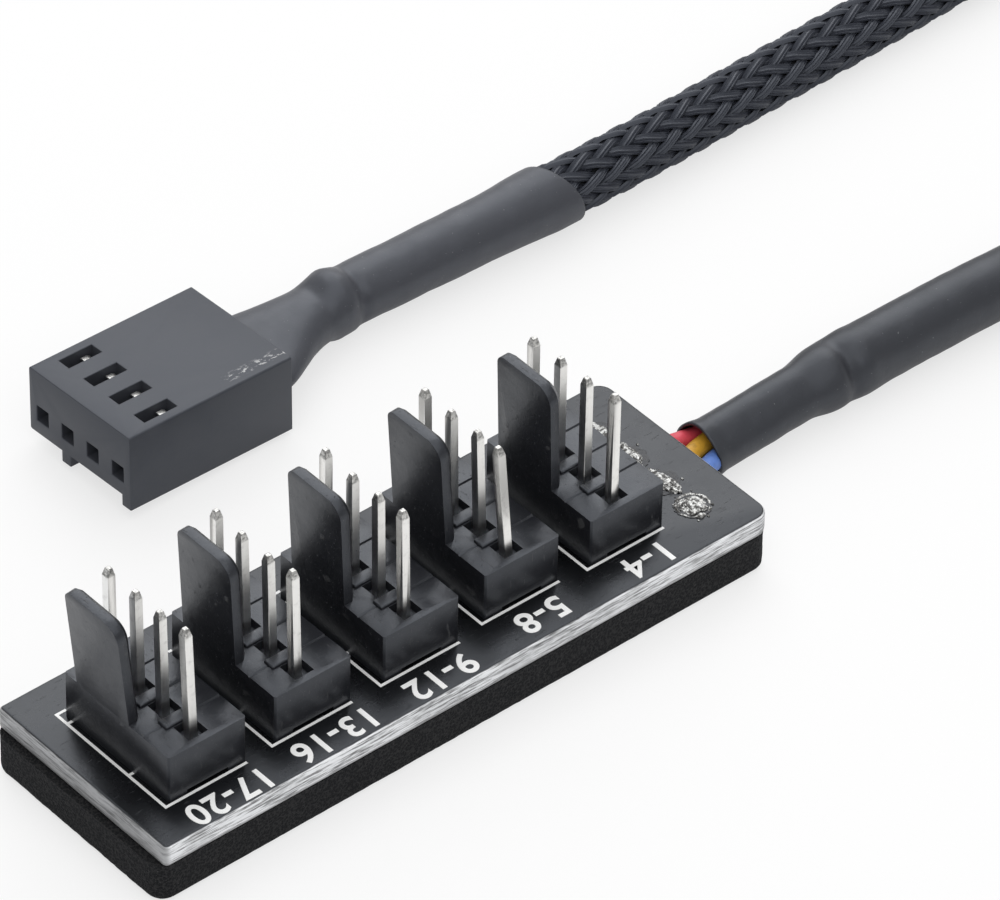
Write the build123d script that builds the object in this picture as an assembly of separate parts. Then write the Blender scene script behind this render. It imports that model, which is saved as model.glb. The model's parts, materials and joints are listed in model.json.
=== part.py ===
from build123d import *
from math import atan2, cos, degrees, hypot, pi, radians, sin, tan
import os

# Fan hub: a bar-shaped circuit board on a foam pad, with five 4-way fan headers in a row
# and a braided 4-wire cable that ends in a 4-way plug.
# Millimetres. +X runs along the board to the cable end, -Y is the edge with the printing,
# +Z is up. The origin is the middle of the pad's underside.

# Board and pad. The board's length and width follow from the row of headers and these margins.
far_end_margin = 2.85
cable_end_margin = 6.15
print_margin = 3.25
back_margin = 3.09
board_thickness = 1.6
board_corner = 1.1
pad_thickness = 3.0
pad_far_overhang = 0.5
pad_cable_overhang = 0.05
pad_side_inset = 0.05
pad_corner = 1.2
pad_soft_edge = 0.4

# Contacts, common to the headers and the plug
ways = 4
pitch = 2.54
pin_size = 0.64
pin_fit = 0.01

# Header housings
header_count = 5
header_spacing = 8.5
header_depth = 6.05
header_end_wall = 1.27
base_height = 3.6
base_edge = 0.12
pin_row_inset = 2.75
pit_size = 1.5
pit_depth = 0.7
groove_width = 0.16
groove_depth = 0.09
relief_width = 3.2
relief_depth = 0.25

# The headers were set by hand: how far each one stands off its place, x and y
header_shift = [(-0.1, -0.15), (-0.15, 0.0), (0.0, 0.0), (0.0, 0.4), (-0.1, 0.1)]

# Friction-lock tab of a header
tab_thickness = 0.95
tab_start = 3.85
tab_length = 5.1
tab_height = 8.1
tab_near_round = 1.3
tab_far_round = 0.7
tab_top_bevel = 0.3
tab_root_round = 0.3

# How far each header's tab leans out over the far end, in degrees
tab_lean = [6.0, 3.0, 2.6, 4.0, 2.0]

# Header pins
pin_above_base = 8.0
pin_bevel = 0.35
pin_bevel_width = 0.3
tail_below_board = 1.4
pin_hole_radius = 0.5
cone_radius = 0.95
cone_tip_radius = 0.45
cone_height = 1.0
cone_slope_height = 0.9
tail_pocket_clearance = 0.3

# How far each pin's tip leans from straight, x and y, nearest pin of each header first
pin_lean = [
    [(-0.10, 0.35), (-0.30, 0.00), (-0.30, -0.20), (-0.25, -0.05)],
    [(-0.20, 0.20), (-0.45, -0.30), (-0.40, -0.25), (-0.30, -0.20)],
    [(-0.15, 0.20), (-0.30, -0.20), (-0.35, -0.35), (-0.15, -0.05)],
    [(-0.30, 0.60), (-0.30, 0.05), (-0.30, 0.00), (-0.25, 0.05)],
    [(0.15, 0.15), (-0.15, -0.10), (-0.15, -0.15), (-0.20, -0.15)],
]

# Wires and their solder joints at the cable end
wire_diameter = 1.15
wire_bend = 1.2
core_diameter = 0.6
joint_inset = 3.55
joint_pitch = 3.0
joint_row_shift = -0.28
joint_hole_radius = 0.55
joint_radius = 1.15
joint_height = 0.5
joint_top_radius = 0.65
joint_slope_height = 0.42
core_above_board = 0.75
core_bend = 0.62
strip_length = 0.95
wire_under_board = 0.04
wire_slot_clearance = 0.15

# Cable
cable_diameter = 3.9
bundle_offset = 0.95
bundle_clearance = 0.15
sleeve_wall = 0.22
braid_clearance = 0.06
mouth_gap = 2.25
mouth_side = 1.4
neck_height = 1.95
edge_spacing = 1.6
edge_side = 1.1
plug_bundle_offset = 0.64
flare_clearance = 0.6
neck_share = 0.72

# The cable's route from the hub to the plug: middle of the braid on the surface that the hub stands on
cable_route = [
    (38.4, 1.4, 2.3),
    (55.0, 1.25, 2.3),
    (72.0, 0.3, 2.15),
    (90.0, -2.2, 1.95),
    (110.0, -5.0, 1.95),
    (130.0, -6.4, 1.95),
    (140.3, -3.4, 1.95),
    (148.1, 3.9, 1.95),
    (151.0, 13.8, 1.95),
    (148.5, 23.9, 1.95),
    (140.9, 31.1, 1.95),
    (130.5, 33.6, 1.95),
    (113.0, 32.6, 1.95),
    (94.0, 29.8, 1.95),
    (74.0, 27.6, 1.95),
    (56.0, 27.05, 2.05),
    (42.0, 26.4, 2.4),
    (29.0, 26.65, 2.45),
    (18.6, 27.15, 2.35),
]

# Heat-shrink sleeves: how far each reaches over the braid, and its step and flare
sleeve_overlap = 17.0
hub_sleeve_overlap = 21.0
step_length = 2.2
sleeve_flare = 0.15

# Plug housing, in its own place: length from the socket face back, width across, height up
plug_x = -3.93
plug_y = 20.66
plug_z = 0.85
plug_turn = 0.58
plug_nose_up = 1.86
plug_roll = -3.31
plug_length = 13.4
plug_width = 10.2
plug_body_height = 4.9
rib_height = 0.85
near_rib_width = 0.9
far_rib_width = 0.9
rib_gap = 5.2
socket_size = 1.2
socket_height = 1.6
front_wall = 1.0
cavity_width = 1.9
cavity_height = 2.7
cavity_floor = 0.75
window_start = 1.85
window_length = 2.7
window_width = 1.07
plug_edge = 0.1

# Plug contacts
sheet = 0.2
contact_gap = 0.2
contact_width = 1.5
contact_box_length = 4.4
contact_box_height = 1.7
lance_run = 1.8
lance_rise = 1.15
lance_width = 0.7
crimp_length = 1.8
crimp_start = 7.2
contact_length = 9.2

# Sides of what is round but small or hidden, and of the cable and its sleeves
small_sides = 8
wire_sides = 10
cable_sides = 12
bend_chords = 3

# Worked out from the sizes above
header_width = (ways - 1) * pitch + 2 * header_end_wall
header_row_length = (header_count - 1) * header_spacing + header_depth
board_length = far_end_margin + header_row_length + cable_end_margin
board_width = print_margin + header_width + back_margin
pad_length = board_length + pad_far_overhang + pad_cable_overhang
board_start = pad_far_overhang - pad_length / 2
board_end = board_start + board_length
first_header_x = board_start + far_end_margin
header_row_y = print_margin - board_width / 2
joint_row_y = header_row_y + header_width / 2 + joint_row_shift
mouth_y = joint_row_y + mouth_side
edge_middle_y = joint_row_y + edge_side
board_base = pad_thickness
board_top = board_base + board_thickness
base_top = board_top + base_height
pin_top = base_top + pin_above_base
tail_end = board_base - tail_below_board
joint_x = board_end - joint_inset
cable_radius = cable_diameter / 2
wire_radius = wire_diameter / 2
bundle_radius = bundle_offset + wire_radius + bundle_clearance


def cut_box(x0, x1, y0, y1, z0, z1):
    """A block between two corners."""
    return Pos((x0 + x1) / 2, (y0 + y1) / 2, (z0 + z1) / 2) * Box(x1 - x0, y1 - y0, z1 - z0)


def header_corner(k):
    """Where header k's near, far-from-cable corner stands on the board."""
    dx, dy = header_shift[k]
    return first_header_x + k * header_spacing + dx, header_row_y + dy


def pin_place(k, j):
    """The middle of pin j of header k."""
    x, y = header_corner(k)
    return x + pin_row_inset, y + header_end_wall + j * pitch


def joint_place(j):
    """The middle of wire joint j, nearest first."""
    return joint_x, joint_row_y + (j - (ways - 1) / 2) * joint_pitch


def arc_radii(points):
    """One radius for each inner point, as large as its two straight runs allow."""
    radii = []
    for a, b, c in zip(points, points[1:], points[2:]):
        first = Vector(*b) - Vector(*a)
        second = Vector(*c) - Vector(*b)
        turn = radians(first.get_angle(second))
        radii.append(0.45 * min(first.length, second.length) / tan(turn / 2))
    return radii


def many_sided(radius, sides):
    """A regular outline whose flats lie at the radius."""
    return RegularPolygon(radius, sides, major_radius=False)


def tube(points, diameter, sides):
    """A bar along straight runs joined by tangent arcs."""
    path = FilletPolyline(*points, radius=arc_radii(points))
    start = Plane(origin=path @ 0, z_dir=path % 0)
    return sweep(start * RegularPolygon(diameter / 2, sides), path=path), path


def bent_wire(points, diameter, radii):
    """A small bar along straight runs, with each bend made of a few short chords of its arc."""
    corners = [Vector(*points[0])]
    for a, b, c, radius in zip(points, points[1:], points[2:], radii):
        ahead = (Vector(*b) - Vector(*a)).normalized()
        after = (Vector(*c) - Vector(*b)).normalized()
        turn = radians(ahead.get_angle(after))
        inward = (after - ahead * ahead.dot(after)).normalized()
        start = Vector(*b) - ahead * (radius * tan(turn / 2))
        for n in range(bend_chords + 1):
            angle = turn * n / bend_chords
            corners.append(start + ahead * (radius * sin(angle)) + inward * (radius * (1 - cos(angle))))
    corners.append(Vector(*points[-1]))
    path = Polyline(*corners)
    start = Plane(origin=corners[0], z_dir=corners[1] - corners[0])
    section = start * RegularPolygon(diameter / 2, wire_sides)
    return sweep(section, path=path, transition=Transition.RIGHT)


def hole_fill(x, y, radius):
    """What fills a hole of the board from face to face."""
    return Pos(x, y, board_base) * extrude(many_sided(radius, small_sides), board_thickness)


# Circuit board
def make_board():
    board = Pos((board_start + board_end) / 2, 0, board_base) * extrude(
        RectangleRounded(board_length, board_width, board_corner), board_thickness
    )
    drills = []
    for k in range(header_count):
        for j in range(ways):
            drills.append(hole_fill(*pin_place(k, j), pin_hole_radius))
    for j in range(ways):
        drills.append(hole_fill(*joint_place(j), joint_hole_radius))
    return board - drills


# Foam pad, with the dents that the pin tails and the wires press into it
def make_pad():
    width = board_width - 2 * pad_side_inset
    pad = extrude(RectangleRounded(pad_length, width, pad_corner), pad_thickness)
    pad = chamfer(pad.faces().sort_by(Axis.Z)[0].edges(), pad_soft_edge)
    floor = tail_end - tail_pocket_clearance
    dents = []
    for k in range(header_count):
        x, y0 = pin_place(k, 0)
        y1 = pin_place(k, ways - 1)[1]
        radius = cone_radius + tail_pocket_clearance
        slot = Rectangle(2 * radius, y1 - y0 + 2 * radius)
        dents.append(Pos(x, (y0 + y1) / 2, floor) * extrude(slot, pad_thickness))
    half = wire_radius + wire_slot_clearance
    wire_floor = board_base - wire_under_board - wire_diameter - 2 * wire_slot_clearance
    for j in range(ways):
        x, y = joint_place(j)
        edge = hub_wire_points(j)[1]
        run = hypot(edge[0] - x, edge[1] - y)
        heading = degrees(atan2(edge[1] - y, edge[0] - x))
        groove = Pos(run / 2, 0, 0) * Rectangle(run + 2 * half, 2 * half)
        dents.append(Pos(x, y, wire_floor) * Rot(0, 0, heading) * extrude(groove, pad_thickness))
    return pad - dents


# Header housing: base, pin pits, segment grooves and friction-lock tab
def make_housing(k):
    x, y = header_corner(k)
    base = cut_box(0, header_depth, 0, header_width, 0, base_height)
    base = chamfer(base.edges().filter_by(Axis.Z), base_edge)
    cuts = [
        cut_box(
            (header_depth - relief_width) / 2,
            (header_depth + relief_width) / 2,
            -1,
            header_width + 1,
            -1,
            relief_depth,
        )
    ]
    hole = pin_size + 2 * pin_fit
    pit_floor = base_height - pit_depth
    for j in range(ways):
        py = header_end_wall + j * pitch
        cuts.append(Pos(pin_row_inset, py, base_height / 2) * Box(hole, hole, 2 * base_height))
        cuts.append(Pos(pin_row_inset, py, pit_floor) * extrude(Rectangle(pit_size, pit_size), 2))
    for j in range(1, ways):
        gy = header_end_wall + (j - 0.5) * pitch
        bar = Rot(45, 0, 0) * Box(3 * header_depth, groove_width, groove_width)
        drop = groove_width / 2**0.5 - groove_depth
        cuts.append(Pos(header_depth / 2, gy, base_height + drop) * bar)
    base = base - cuts
    outline = Rectangle(tab_length, tab_height + base_height, align=(Align.MIN, Align.MIN))
    top = outline.vertices().group_by(Axis.Y)[-1].sort_by(Axis.X)
    outline = fillet(top[0], tab_near_round)
    top = outline.vertices().group_by(Axis.X)[-1].sort_by(Axis.Y)
    outline = fillet(top[-1], tab_far_round)
    tab = extrude(Plane.YZ * outline, tab_thickness)
    inner = tab.faces().sort_by(Axis.X)[-1]
    rim = [e for e in inner.edges() if e.center().Z > tab_height + base_height - tab_near_round]
    tab = chamfer(rim, tab_top_bevel)
    tab = Pos(0, tab_start, base_height) * Rot(0, -tab_lean[k], 0) * Pos(0, 0, -base_height) * tab
    tab = tab - cut_box(-1, header_depth, 0, header_width + 1, -1, base_height / 2)
    body = base + tab
    root = [
        e
        for e in body.edges().filter_by(Axis.Y)
        if abs(e.center().X - tab_thickness) < 0.1 and abs(e.center().Z - base_height) < 0.01
    ]
    body = fillet(root, tab_root_round)
    return Pos(x, y, board_top) * body


# Header pin: straight through the board and the base, leaning above it, bevelled at both ends
def make_pin(k, j):
    x, y = pin_place(k, j)
    lean_x, lean_y = pin_lean[k][j]
    root = base_top - pit_depth
    section = Rectangle(pin_size, pin_size)
    straight = Pos(x, y, tail_end) * extrude(section, root - tail_end)
    rise = Vector(lean_x, lean_y, pin_top - root)
    leaning = extrude(Pos(x, y, root) * section, amount=rise.length, dir=rise.normalized())
    pin = straight + leaning
    side = (pin_size - pin_bevel_width) / 2
    for end, up in ((pin.faces().sort_by(Axis.Z)[-1], 1), (pin.faces().sort_by(Axis.Z)[0], -1)):
        pin = chamfer(end.edges(), side, pin_bevel, reference=end)
    return pin


# Solder of one header: a cone round each tail that also fills its hole
def make_pin_solder(k):
    cones = []
    for j in range(ways):
        x, y = pin_place(k, j)
        cone = extrude(many_sided(cone_radius, small_sides), -cone_height)
        tip = cone.faces().sort_by(Axis.Z)[0]
        cone = chamfer(tip.edges(), cone_radius - cone_tip_radius, cone_slope_height, reference=tip)
        cone = Pos(x, y, board_base) * cone + hole_fill(x, y, pin_hole_radius)
        cones.append(cone - make_pin(k, j))
    return Compound(cones)


# Bare end of a wire: in from the side under the board, then up through its hole
def make_core(j):
    x, y = joint_place(j)
    ahead = hub_wire_points(j)[0]
    height = ahead[2]
    points = [(x, y, board_top + core_above_board), (x, y, height), ahead]
    return bent_wire(points, core_diameter, [core_bend])


# Solder joint of a wire: a low mound on the board and the fill of its hole
def make_joint(j):
    x, y = joint_place(j)
    mound = extrude(many_sided(joint_radius, small_sides), joint_height)
    top = mound.faces().sort_by(Axis.Z)[-1]
    mound = chamfer(top.edges(), joint_radius - joint_top_radius, joint_slope_height, reference=top)
    mound = Pos(x, y, board_top) * mound + hole_fill(x, y, joint_hole_radius)
    return mound - make_core(j)


# Where the wires lie side by side as they pass the board's edge, nearest first
def edge_spread(j):
    return edge_middle_y + (j - (ways - 1) / 2) * edge_spacing


# A wire's place in the cable: near side, top, bottom, far side
def bundle_place(j):
    return [(-bundle_offset, 0), (0, bundle_offset), (0, -bundle_offset), (bundle_offset, 0)][j]


def hub_wire_points(j):
    """The wire's middle from its stripped end, past the board's edge, to where the braid begins."""
    x, y = joint_place(j)
    level = board_base - wire_under_board - wire_radius
    edge_x = board_end + 0.25
    edge = (edge_x, edge_spread(j), level)
    heading = atan2(edge[1] - y, edge[0] - x)
    start = (x + strip_length * cos(heading), y + strip_length * sin(heading), level)
    side, up = bundle_place(j)
    middle = cable_route[0]
    mouth = (board_end + mouth_gap, mouth_y + side, neck_height + up)
    end = (middle[0], middle[1] + side, middle[2] + up)
    return [start, edge, mouth, end]


def make_hub_wire(j):
    return bent_wire(hub_wire_points(j), wire_diameter, [wire_bend] * 2) - cable


def level_plane(middle, heading):
    """The plane across a line, with its own X direction level."""
    return Plane(origin=middle, x_dir=(-heading[1], heading[0], 0), z_dir=heading)


# A sleeve as a run of round or flattened sections: plane, half width, half height
def sleeve_solid(stations):
    sections = []
    for plane, half_width, half_height in stations:
        corners = []
        for n in range(cable_sides):
            angle = 2 * pi * (n + 0.5) / cable_sides
            across = half_height * cos(angle) / cos(pi / cable_sides)
            across += (half_width - half_height) * (1 if across > 0 else -1)
            corners.append((across, half_height * sin(angle) / cos(pi / cable_sides)))
        sections.append(plane * make_face(Polyline(*corners, close=True)))
    return loft(sections, ruled=True)


def make_sleeve(stations):
    """A thin wall round the stations, open at both ends."""
    outer = [(plane, width + sleeve_wall, height + sleeve_wall) for plane, width, height in stations]
    first, last = stations[0], stations[-1]
    before = (first[0].offset(-0.5), *first[1:])
    after = (last[0].offset(0.5), *last[1:])
    return sleeve_solid(outer) - sleeve_solid([before, *stations, after])


cable, cable_path = tube(cable_route, cable_diameter, cable_sides)
cable_radii = arc_radii(cable_route)
print("cable length", round(cable_path.length, 1), "smallest radius", round(min(cable_radii), 1))
section_area = RegularPolygon(cable_radius, cable_sides).area
print("volume against section times length", round(cable.volume / (section_area * cable_path.length), 4))


def along_cable(distance):
    """Middle and heading of the braid at a distance from its hub end."""
    share = distance / cable_path.length
    return tuple(cable_path @ share), tuple(cable_path % share)


# Heat-shrink at the hub: a neck over the wires, a step, then a wider part over the braid
def make_hub_sleeve():
    wide = cable_radius + braid_clearance
    middle = cable_route[0]
    mouth = (board_end + mouth_gap, mouth_y, neck_height)
    toward = (Vector(*middle) - Vector(*mouth)).normalized()
    before = tuple(Vector(*middle) - toward * step_length)
    stations = [(level_plane(at, tuple(toward)), bundle_radius, bundle_radius) for at in (mouth, before)]
    for distance in (0, 5, 10, 15, hub_sleeve_overlap):
        stations.append((level_plane(*along_cable(distance)), wide, wide))
    return make_sleeve(stations)


# The stiff sleeve holds the plug a little turned, rolled and nose up; one rib end touches the ground
plug_place = Pos(plug_x, plug_y, plug_z) * Rot(plug_roll, plug_nose_up, plug_turn)


def plug_point(u, v, w):
    """A point of the plug's own frame in the hub's frame."""
    return tuple((plug_place * Pos(u, v, w)).position)


contact_level = rib_height + socket_height


def way_middle(j):
    """Across the plug, the middle of way j, nearest first."""
    return plug_width / 2 + (j - (ways - 1) / 2) * pitch


# Heat-shrink at the plug: flat over the four wires at the plug's back, then round, then over the braid
def make_plug_sleeve():
    wide = cable_radius + braid_clearance
    spread = (ways - 1) / 2 * pitch + wire_radius + flare_clearance
    back = plug_point(plug_length, plug_width / 2, wire_level())
    heading = Vector(*plug_point(1, 0, 0)) - Vector(*plug_point(0, 0, 0))
    across = Vector(*plug_point(0, 1, 0)) - Vector(*plug_point(0, 0, 0))
    end = Vector(*cable_route[-1])
    toward = (end - Vector(*back)).normalized()
    neck = tuple(Vector(*back) + (end - Vector(*back)) * neck_share)
    stations = [
        (Plane(origin=back, x_dir=across, z_dir=heading), spread, wire_radius + bundle_clearance),
        (level_plane(neck, tuple(toward)), bundle_radius, bundle_radius),
    ]
    for distance in (0, 4, 8, 12, sleeve_overlap):
        at, against = along_cable(cable_path.length - distance)
        open_by = sleeve_flare if distance == sleeve_overlap else 0
        stations.append((level_plane(at, tuple(-c for c in against)), wide + open_by, wide + open_by))
    return make_sleeve(stations)


def wire_level():
    """Height of the wires where they leave the plug."""
    return contact_level + sheet / 2 + 0.1


def plug_wire_points(j):
    """From the crimp, out of the plug's back, to where the braid ends."""
    start = plug_point(crimp_start, way_middle(j), wire_level())
    out = plug_point(plug_length + 0.4, way_middle(j), wire_level())
    side = plug_bundle_offset * (-1 if j < ways / 2 else 1)
    up = plug_bundle_offset * (-1 if j in (0, ways - 1) else 1)
    end = Vector(*cable_route[-1])
    back = Vector(*plug_point(plug_length, plug_width / 2, wire_level()))
    toward = (end - back).normalized()
    across = Vector(-toward.Y, toward.X, 0)
    lift = Vector(0, 0, up)
    neck = back + (end - back) * neck_share + across * side + lift
    halfway = Vector(*out) * 0.4 + (neck - lift) * 0.6 + lift
    last = end + across * side + lift
    return [start, out, tuple(halfway), tuple(neck), tuple(last)]


def make_plug_wire(j):
    return bent_wire(plug_wire_points(j), wire_diameter, [wire_bend] * 3) - cable


# Plug housing
def make_plug():
    body = cut_box(0, plug_length, 0, plug_width, rib_height, rib_height + plug_body_height)
    body = chamfer(body.edges().filter_by(Axis.X), plug_edge)
    near = cut_box(0, plug_length, 0, near_rib_width, 0, rib_height + plug_edge)
    start = near_rib_width + rib_gap
    far = cut_box(0, plug_length, start, start + far_rib_width, 0, rib_height + plug_edge)
    body = body + near + far
    top = rib_height + plug_body_height
    low = rib_height + cavity_floor
    cuts = []
    for j in range(ways):
        v = way_middle(j)
        half = cavity_width / 2
        cuts.append(cut_box(front_wall, plug_length + 1, v - half, v + half, low, low + cavity_height))
        half = socket_size / 2
        cuts.append(cut_box(-1, front_wall + 1, v - half, v + half, contact_level - half, contact_level + half))
        half = window_width / 2
        window_end = window_start + window_length
        cuts.append(cut_box(window_start, window_end, v - half, v + half, low + 1, top + 1))
    return plug_place * (body - cuts)


# Plug contact: floor strip, open box with two walls, locking lance and crimp barrel
def make_contact(j):
    v = way_middle(j)
    half = contact_width / 2
    low = rib_height + cavity_floor
    start = front_wall + contact_gap
    box_end = start + contact_box_length
    pieces = [cut_box(start, start + contact_length, v - half, v + half, low, low + sheet)]
    for side in (-1, 1):
        wall = v + side * (half - sheet / 2)
        pieces.append(cut_box(start, box_end, wall - sheet / 2, wall + sheet / 2, low, low + contact_box_height))
    roof = low + contact_box_height
    pieces.append(cut_box(box_end - 1.4, box_end, v - half, v + half, roof - sheet, roof))
    lance = make_face(
        Polyline(
            (box_end - 0.3, roof - sheet),
            (box_end - 0.3 - lance_run, roof - sheet / 2 + 0.1),
            (box_end - lance_run + 0.35, roof + lance_rise),
            (box_end - lance_run + 0.55, roof + lance_rise - 0.1),
            (box_end - lance_run + 0.1, roof),
            (box_end - 0.3, roof),
            close=True,
        )
    )
    lance = extrude(Plane.XZ.offset(-v) * lance, lance_width / 2, both=True)
    pieces.append(lance)
    inner = many_sided(wire_radius + 0.01, small_sides)
    barrel = many_sided(wire_radius + 0.01 + sheet, small_sides) - inner
    barrel_place = Plane(origin=(crimp_start, v, wire_level()), x_dir=(0, 1, 0), z_dir=(1, 0, 0))
    barrel = extrude(barrel_place * barrel, crimp_length)
    pieces.append(barrel)
    foot_top = wire_level() - wire_radius - sheet / 2
    pieces.append(cut_box(crimp_start, crimp_start + crimp_length, v - 0.3, v + 0.3, low, foot_top))
    contact = pieces[0]
    for piece in pieces[1:]:
        contact = contact + piece
    return plug_place * contact


# Every part by the name of its file
wire_names = ["blue", "yellow", "black", "red"]
parts = {
    "circuit_board": make_board(),
    "foam_pad": make_pad(),
    "hub_heat_shrink": make_hub_sleeve(),
    "plug_heat_shrink": make_plug_sleeve(),
    "braided_cable": cable,
    "plug_housing": make_plug(),
}
for k in range(header_count):
    parts[f"header_housing_{k + 1}"] = make_housing(k)
    parts[f"pin_solder_{k + 1}"] = make_pin_solder(k)
    for j in range(ways):
        parts[f"header_{k + 1}_pin_{j + 1}"] = make_pin(k, j)
for j in range(ways):
    parts[f"hub_wire_{wire_names[j]}"] = make_hub_wire(j)
    parts[f"wire_end_{wire_names[j]}"] = make_core(j)
    parts[f"wire_joint_{wire_names[j]}"] = make_joint(j)
    parts[f"plug_wire_{wire_names[j]}"] = make_plug_wire(j)
    parts[f"plug_contact_{j + 1}"] = make_contact(j)

os.makedirs("parts", exist_ok=True)
for name, shape in parts.items():
    shape.label = name
    export_step(shape, f"parts/{name}.step")
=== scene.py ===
import math

import bmesh
import bpy
import numpy as np
from mathutils import Matrix, Vector, noise
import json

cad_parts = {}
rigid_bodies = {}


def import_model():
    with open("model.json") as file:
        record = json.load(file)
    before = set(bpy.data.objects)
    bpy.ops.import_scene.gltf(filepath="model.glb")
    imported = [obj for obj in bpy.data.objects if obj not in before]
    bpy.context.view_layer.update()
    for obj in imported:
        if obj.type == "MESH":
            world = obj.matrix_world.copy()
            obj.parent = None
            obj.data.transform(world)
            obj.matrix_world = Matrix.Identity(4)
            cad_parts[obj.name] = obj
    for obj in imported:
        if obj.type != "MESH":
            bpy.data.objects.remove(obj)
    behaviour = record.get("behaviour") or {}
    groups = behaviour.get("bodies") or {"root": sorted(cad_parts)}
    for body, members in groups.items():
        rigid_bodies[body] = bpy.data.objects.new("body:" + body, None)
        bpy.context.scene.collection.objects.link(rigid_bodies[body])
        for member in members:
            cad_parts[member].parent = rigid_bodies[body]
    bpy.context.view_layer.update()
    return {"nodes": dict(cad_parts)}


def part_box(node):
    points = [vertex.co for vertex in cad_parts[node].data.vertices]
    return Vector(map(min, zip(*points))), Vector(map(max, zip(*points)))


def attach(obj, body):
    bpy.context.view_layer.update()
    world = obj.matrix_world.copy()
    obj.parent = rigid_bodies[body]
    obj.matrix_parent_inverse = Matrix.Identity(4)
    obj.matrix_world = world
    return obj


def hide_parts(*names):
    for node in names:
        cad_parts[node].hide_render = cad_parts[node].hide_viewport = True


bl_info = {
    "name": "Fan Controller Hub",
    "version": (1, 0, 0),
    "blender": (4, 5, 0),
    "location": "3D View > Sidebar > Fan Hub",
    "description": "Dresses the solids of a five-header fan hub with its visible pieces and finishes",
    "category": "Object",
}

MM = 0.001

# The scene starts with a cube, a camera and a lamp of its own
for thing in list(bpy.data.objects):
    bpy.data.objects.remove(thing)
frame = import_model()
nodes = frame["nodes"]

# Places that come from the solids
board_low, board_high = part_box("circuit_board")
pad_low, pad_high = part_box("foam_pad")
board_top = board_high.z

# The headers, the pins of each, and the wires in the order of their holes from the near side
header_count = 5
ways = 4
wire_names = ["blue", "yellow", "black", "red"]

# The cable's route from the hub to the plug, the same control points as the solid's, in millimetres, and
# its length and width in metres
cable_route = [
    (38.4, 1.4, 2.3),
    (55.0, 1.25, 2.3),
    (72.0, 0.3, 2.15),
    (90.0, -2.2, 1.95),
    (110.0, -5.0, 1.95),
    (130.0, -6.4, 1.95),
    (140.3, -3.4, 1.95),
    (148.1, 3.9, 1.95),
    (151.0, 13.8, 1.95),
    (148.5, 23.9, 1.95),
    (140.9, 31.1, 1.95),
    (130.5, 33.6, 1.95),
    (113.0, 32.6, 1.95),
    (94.0, 29.8, 1.95),
    (74.0, 27.6, 1.95),
    (56.0, 27.05, 2.05),
    (42.0, 26.4, 2.4),
    (29.0, 26.65, 2.45),
    (18.6, 27.15, 2.35),
]

# Middle lines of the two sleeves in millimetres, each from its end over the wires to the other
hub_sleeve_route = [(27.0, 1.2, 1.95), (33.0, 1.3, 2.12), *cable_route[:3]]
plug_sleeve_route = [(9.4, 25.9, 2.85), (14.0, 26.8, 2.5), *cable_route[:-5:-1]]

# Each wire in millimetres from its hole, under the board and past its edge, into the sleeve
wire_routes = {
    "blue": [
        (21.2, -4.7, 2.35),
        (23.6, -2.7, 2.35),
        (25.2, -1.0, 2.4),
        (27.2, -0.1, 2.2),
        (30.0, 0.2, 1.9),
        (34.0, 0.4, 2.1),
    ],
    "yellow": [
        (21.2, -1.7, 2.35),
        (23.6, -0.4, 2.35),
        (25.2, 0.6, 2.5),
        (27.2, 1.2, 2.5),
        (30.0, 1.3, 2.5),
        (34.0, 1.3, 2.9),
    ],
    "black": [
        (21.2, 1.3, 2.35),
        (23.6, 1.5, 2.3),
        (25.2, 1.4, 1.6),
        (27.2, 1.2, 1.05),
        (30.0, 1.3, 1.1),
        (34.0, 1.3, 1.3),
    ],
    "red": [
        (21.2, 4.3, 2.35),
        (23.6, 3.3, 2.35),
        (25.2, 2.7, 2.4),
        (27.2, 2.35, 2.25),
        (30.0, 2.2, 2.0),
        (34.0, 2.2, 2.1),
    ],
}

# The plug's corner and its turns about X, Y and Z, the same as the solid's, in millimetres and degrees
plug_corner = (-3.93, 20.66, 0.85)
plug_turns = (-3.31, 1.86, 0.58)

# In the plug, in millimetres: the distance from its side to its middle, and between its ways
plug_middle = 5.1
contact_pitch = 2.54

# How far each wire's way lies from the plug's middle, and how the wires run together there: distance
# from the plug's face, share of that offset, height
ways_across = {name: (j - 1.5) * contact_pitch for j, name in enumerate(wire_names)}
plug_wire_run = [
    (7.5, 1.0, 2.75),
    (10.5, 1.0, 2.75),
    (12.8, 0.82, 2.65),
    (14.6, 0.55, 2.5),
    (17.5, 0.3, 2.3),
]

# Share of that offset with which a wire enters the cable, and a wire's width here as a share of its
# width at the hub
offset_in_cable = 0.15
plug_wire_share = 0.9


# Sizes and colours that a user may change


def size(name, description, default):
    """A length in metres."""
    return bpy.props.FloatProperty(
        name=name, description=description, default=default, min=0.0, precision=5, unit="LENGTH"
    )


def colour(name, description, default):
    """A colour with no alpha."""
    return bpy.props.FloatVectorProperty(
        name=name, description=description, default=default, size=3, min=0.0, max=1.0, subtype="COLOR"
    )


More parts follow.
